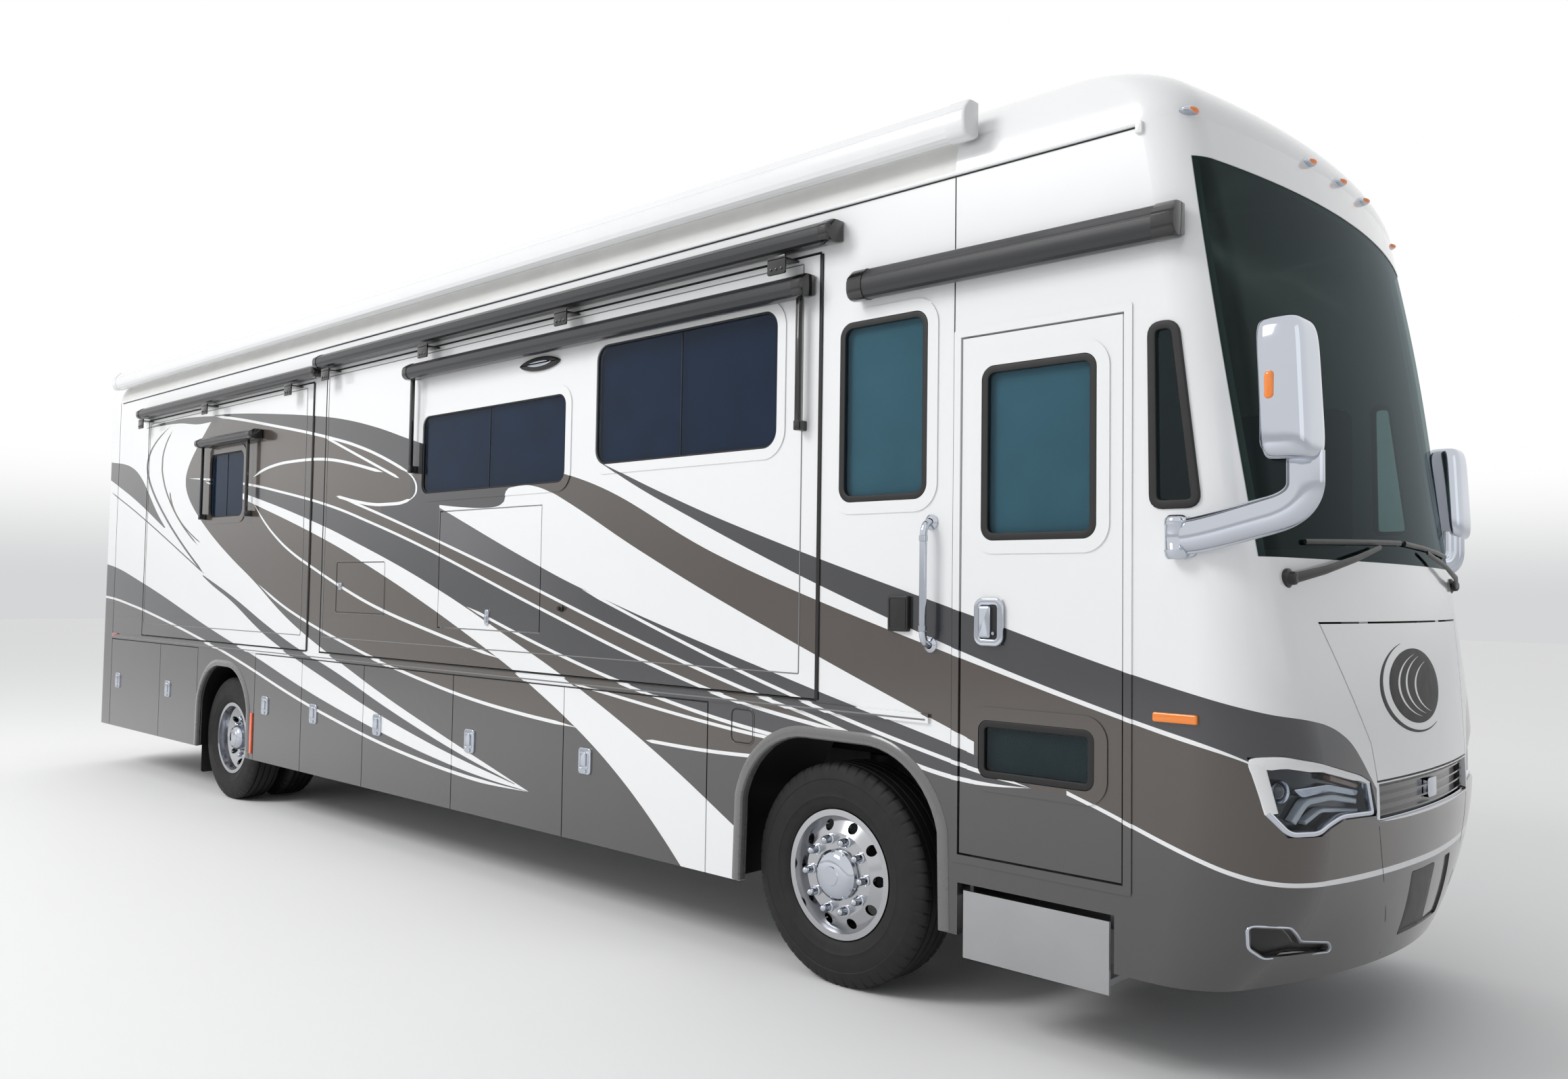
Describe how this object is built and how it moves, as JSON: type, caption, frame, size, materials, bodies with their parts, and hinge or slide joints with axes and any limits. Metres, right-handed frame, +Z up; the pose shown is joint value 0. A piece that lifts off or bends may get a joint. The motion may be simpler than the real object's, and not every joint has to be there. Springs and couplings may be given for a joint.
{
  "type": "motorhome",
  "caption": "Rear-engined coach motorhome with raised front cap, slide-out rooms, luggage bay doors, awnings, chrome mirrors and twin rear wheels.",
  "frame": {"origin": "on the ground under the middle of the overall length and width", "axes": "+X forward, +Y to the left side, +Z up"},
  "size_m": [12.34, 3.25, 4.105],
  "materials": {
    "body_paint": "gloss",
    "roof_skin": "satin",
    "awning_white": "gloss",
    "awning_dark": "satin",
    "frame_steel": "satin",
    "floor_panel": "matte",
    "engine_iron": "matte",
    "tinted_glass": "gloss",
    "chrome": "polished",
    "wheel_alloy": "polished",
    "tyre_rubber": "matte",
    "lamp_plastic": "gloss",
    "black_plastic": "satin",
    "cab_trim": "matte",
    "seat_leather": "satin",
    "step_metal": "brushed"
  },
  "bodies": {
    "coach_body": {"chassis_frame": "frame_steel", "body_floor": "floor_panel", "step_well": "floor_panel", "wall_right": "body_paint", "wall_left": "body_paint", "roof": "roof_skin", "front_cap": "body_paint", "rear_cap": "body_paint", "windscreen": "tinted_glass", "cab_glass": "tinted_glass", "roof_awning": "awning_white", "roof_units": "roof_skin", "awning_cases": "awning_dark", "mirrors": "chrome", "headlights": "lamp_plastic", "grille": "black_plastic", "lamps": "lamp_plastic", "wipers": "black_plastic", "front_axle": "frame_steel", "rear_axle": "frame_steel", "engine": "engine_iron", "dashboard": "cab_trim", "cab_seats": "seat_leather"},
    "steering_wheel": {"steering_wheel": "black_plastic"},
    "hood": {"hood": "body_paint"},
    "engine_door": {"engine_door": "body_paint"},
    "entry_door": {"entry_door": "body_paint", "entry_door_glass": "tinted_glass"},
    "entry_step": {"entry_step": "step_metal"},
    "slide_rear_right": {"slide_rear_right": "body_paint", "slide_rear_right_glass": "tinted_glass", "window_awning_rear": "awning_dark"},
    "slide_mid_right": {"slide_mid_right": "body_paint", "slide_mid_right_glass": "tinted_glass", "window_awning_mid": "awning_dark"},
    "slide_left": {"slide_left": "body_paint", "slide_left_glass": "tinted_glass"},
    "locker_door": {"locker_door": "body_paint"},
    "knuckle_right": {"knuckle_right": "frame_steel"},
    "wheel_front_right": {"rim_front_right": "wheel_alloy", "tyre_front_right": "tyre_rubber"},
    "wheels_rear_right": {"rims_rear_right": "wheel_alloy", "tyres_rear_right": "tyre_rubber"},
    "knuckle_left": {"knuckle_left": "frame_steel"},
    "wheel_front_left": {"rim_front_left": "wheel_alloy", "tyre_front_left": "tyre_rubber"},
    "wheels_rear_left": {"rims_rear_left": "wheel_alloy", "tyres_rear_left": "tyre_rubber"},
    "bay_door_right_1": {"bay_door_right_1": "body_paint"},
    "bay_door_right_2": {"bay_door_right_2": "body_paint"},
    "bay_door_right_3": {"bay_door_right_3": "body_paint"},
    "bay_door_right_4": {"bay_door_right_4": "body_paint"},
    "bay_door_right_5": {"bay_door_right_5": "body_paint"},
    "bay_door_right_6": {"bay_door_right_6": "body_paint"},
    "bay_door_right_7": {"bay_door_right_7": "body_paint"},
    "bay_door_left_1": {"bay_door_left_1": "body_paint"},
    "bay_door_left_2": {"bay_door_left_2": "body_paint"},
    "bay_door_left_3": {"bay_door_left_3": "body_paint"},
    "bay_door_left_4": {"bay_door_left_4": "body_paint"}
  },
  "joints": [
    {"name": "steer_right", "type": "hinge", "parent": "coach_body", "child": "knuckle_right", "pos_m": [3.85, -0.858, 0.52], "axis": [0, 0, 1], "range_deg": [-40, 40]},
    {"name": "roll_front_right", "type": "hinge", "parent": "knuckle_right", "child": "wheel_front_right", "pos_m": [3.85, -1.068, 0.52], "axis": [0, 1, 0], "continuous": true},
    {"name": "roll_rear_right", "type": "hinge", "parent": "coach_body", "child": "wheels_rear_right", "pos_m": [-3.055, -1.075, 0.52], "axis": [0, 1, 0], "continuous": true},
    {"name": "steer_left", "type": "hinge", "parent": "coach_body", "child": "knuckle_left", "pos_m": [3.85, 0.858, 0.52], "axis": [0, 0, 1], "range_deg": [-40, 40]},
    {"name": "roll_front_left", "type": "hinge", "parent": "knuckle_left", "child": "wheel_front_left", "pos_m": [3.85, 1.068, 0.52], "axis": [0, 1, 0], "continuous": true},
    {"name": "roll_rear_left", "type": "hinge", "parent": "coach_body", "child": "wheels_rear_left", "pos_m": [-3.055, 1.075, 0.52], "axis": [0, 1, 0], "continuous": true},
    {"name": "steering_wheel_turn", "type": "hinge", "parent": "coach_body", "child": "steering_wheel", "pos_m": [5.21, 0.56, 1.8], "axis": [-0.5501, 0, 0.8351], "range_deg": [-720, 720]},
    {"name": "entry_door_swing", "type": "hinge", "parent": "coach_body", "child": "entry_door", "pos_m": [5.358, -1.2885, 1.85], "axis": [0, 0, 1], "range_deg": [0, 90]},
    {"name": "entry_step_slide", "type": "slide", "parent": "coach_body", "child": "entry_step", "axis": [0, -1, 0], "range_m": [0, 0.3]},
    {"name": "slide_rear_right_move", "type": "slide", "parent": "coach_body", "child": "slide_rear_right", "axis": [0, -1, 0], "range_m": [0, 0.6]},
    {"name": "slide_mid_right_move", "type": "slide", "parent": "coach_body", "child": "slide_mid_right", "axis": [0, -1, 0], "range_m": [0, 0.75]},
    {"name": "slide_left_move", "type": "slide", "parent": "coach_body", "child": "slide_left", "axis": [0, 1, 0], "range_m": [0, 0.75]},
    {"name": "locker_door_swing", "type": "hinge", "parent": "slide_mid_right", "child": "locker_door", "pos_m": [0.97, -1.2885, 2.351], "axis": [-1, 0, 0], "range_deg": [0, 90]},
    {"name": "hood_swing", "type": "hinge", "parent": "coach_body", "child": "hood", "pos_m": [6.05, 0, 1.93], "axis": [0, -1, 0], "range_deg": [0, 60]},
    {"name": "engine_door_swing", "type": "hinge", "parent": "coach_body", "child": "engine_door", "pos_m": [-6.176, 0, 1.636], "axis": [0, 1, 0], "range_deg": [0, 75]},
    {"name": "bay_door_right_1_swing", "type": "hinge", "parent": "coach_body", "child": "bay_door_right_1", "pos_m": [-4.5, -1.2885, 0.84], "axis": [0, 0, 1], "range_deg": [0, 90]},
    {"name": "bay_door_right_2_swing", "type": "hinge", "parent": "coach_body", "child": "bay_door_right_2", "pos_m": [-3.61, -1.2885, 0.84], "axis": [0, 0, 1], "range_deg": [0, 90]},
    {"name": "bay_door_right_3_swing", "type": "hinge", "parent": "coach_body", "child": "bay_door_right_3", "pos_m": [-1.56, -1.2885, 0.84], "axis": [0, 0, 1], "range_deg": [0, 90]},
    {"name": "bay_door_right_4_swing", "type": "hinge", "parent": "coach_body", "child": "bay_door_right_4", "pos_m": [-0.58, -1.2885, 0.84], "axis": [0, 0, 1], "range_deg": [0, 90]},
    {"name": "bay_door_right_5_swing", "type": "hinge", "parent": "coach_body", "child": "bay_door_right_5", "pos_m": [0.61, -1.2885, 0.84], "axis": [0, 0, 1], "range_deg": [0, 90]},
    {"name": "bay_door_right_6_swing", "type": "hinge", "parent": "coach_body", "child": "bay_door_right_6", "pos_m": [1.81, -1.2885, 0.84], "axis": [0, 0, 1], "range_deg": [0, 90]},
    {"name": "bay_door_right_7_swing", "type": "hinge", "parent": "coach_body", "child": "bay_door_right_7", "pos_m": [3.036, -1.2885, 0.84], "axis": [0, 0, 1], "range_deg": [0, 90]},
    {"name": "bay_door_left_1_swing", "type": "hinge", "parent": "coach_body", "child": "bay_door_left_1", "pos_m": [-1.05, 1.2885, 0.84], "axis": [0, 0, -1], "range_deg": [0, 90]},
    {"name": "bay_door_left_2_swing", "type": "hinge", "parent": "coach_body", "child": "bay_door_left_2", "pos_m": [0.31, 1.2885, 0.84], "axis": [0, 0, -1], "range_deg": [0, 90]},
    {"name": "bay_door_left_3_swing", "type": "hinge", "parent": "coach_body", "child": "bay_door_left_3", "pos_m": [1.67, 1.2885, 0.84], "axis": [0, 0, -1], "range_deg": [0, 90]},
    {"name": "bay_door_left_4_swing", "type": "hinge", "parent": "coach_body", "child": "bay_door_left_4", "pos_m": [3.036, 1.2885, 0.84], "axis": [0, 0, -1], "range_deg": [0, 90]}
  ],
  "couplings": [
    {"joint": "steer_left", "follows": "steer_right", "ratio": 1},
    {"joint": "steering_wheel_turn", "follows": "steer_right", "ratio": 18}
  ]
}
